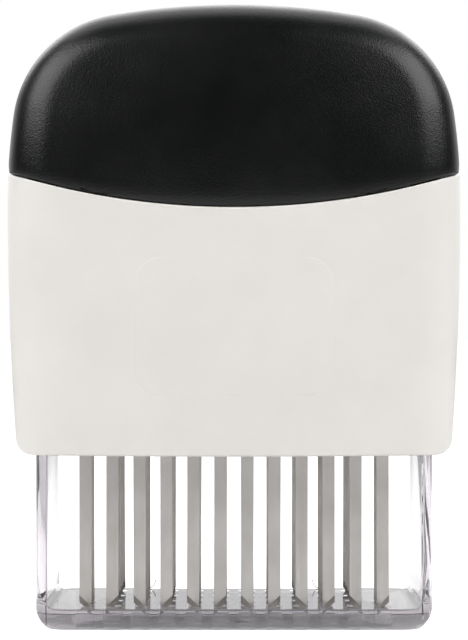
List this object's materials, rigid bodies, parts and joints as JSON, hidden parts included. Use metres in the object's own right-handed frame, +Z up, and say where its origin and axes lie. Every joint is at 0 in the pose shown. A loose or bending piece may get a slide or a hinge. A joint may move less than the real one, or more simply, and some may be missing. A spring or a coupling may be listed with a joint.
{
  "type": "blade meat tenderizer",
  "caption": "Hand tool with a domed palm cap, a moulded housing, rows of chisel-ground steel blades, a sprung clear slotted guard and side release buttons.",
  "frame": {"origin": "middle of the clear guard's underside, on the surface it stands on", "axes": "+Z up to the palm cap, +X to the right seen from the front, front face towards -Y"},
  "size_m": [0.1044, 0.047, 0.1428],
  "materials": {
    "cap_plastic": "satin black, fine grain",
    "housing_plastic": "smooth warm white",
    "frame_plastic": "moulded grey white",
    "holder_plastic": "moulded white",
    "sleeve_plastic": "moulded black",
    "button_plastic": "satin black",
    "clear_plastic": "clear polished",
    "blade_steel": "satin stainless, ground tips",
    "steel": "bright drawn",
    "spring_steel": "drawn wire"
  },
  "bodies": {
    "handle": {"handle_cap": "cap_plastic", "housing_shell": "housing_plastic", "cap_screws": "steel", "inner_frame": "frame_plastic", "blade_holder_lower": "holder_plastic", "blade_holder_upper": "holder_plastic", "holder_screws": "steel", "blade_row_1": "blade_steel", "blade_row_2": "blade_steel", "blade_row_3": "blade_steel", "blade_row_4": "blade_steel", "blade_rod_1": "steel", "blade_rod_2": "steel", "blade_rod_3": "steel", "blade_rod_4": "steel", "blade_rod_5": "steel", "blade_rod_6": "steel", "blade_rod_7": "steel", "blade_rod_8": "steel", "blade_rod_9": "steel", "blade_rod_10": "steel", "blade_rod_11": "steel", "blade_rod_12": "steel", "guide_rod_front_left": "steel", "stop_sleeve_front_left": "sleeve_plastic", "guard_spring_front_left": "spring_steel", "guide_rod_front_right": "steel", "stop_sleeve_front_right": "sleeve_plastic", "guard_spring_front_right": "spring_steel", "guide_rod_back_left": "steel", "stop_sleeve_back_left": "sleeve_plastic", "guard_spring_back_left": "spring_steel", "guide_rod_back_right": "steel", "stop_sleeve_back_right": "sleeve_plastic", "guard_spring_back_right": "spring_steel", "button_spring_left": "spring_steel", "button_spring_right": "spring_steel"},
    "guard": {"clear_guard": "clear_plastic"},
    "release_left": {"release_button_left": "button_plastic", "button_clip_left": "spring_steel"},
    "release_right": {"release_button_right": "button_plastic", "button_clip_right": "spring_steel"}
  },
  "joints": [
    {"name": "guard_slide", "type": "slide", "parent": "handle", "child": "guard", "axis": [0, 0, 1], "range_m": [0, 0.028], "stiffness_N_per_m": 900, "springref_m": -0.01, "deforming": ["guard_spring_front_left", "guard_spring_front_right", "guard_spring_back_left", "guard_spring_back_right"]},
    {"name": "release_left_press", "type": "slide", "parent": "handle", "child": "release_left", "axis": [1, 0, 0], "range_m": [0, 0.0023], "stiffness_N_per_m": 700, "springref_m": -0.002, "deforming": ["button_spring_left"]},
    {"name": "release_right_press", "type": "slide", "parent": "handle", "child": "release_right", "axis": [-1, 0, 0], "range_m": [0, 0.0023], "stiffness_N_per_m": 700, "springref_m": -0.002, "deforming": ["button_spring_right"]}
  ]
}
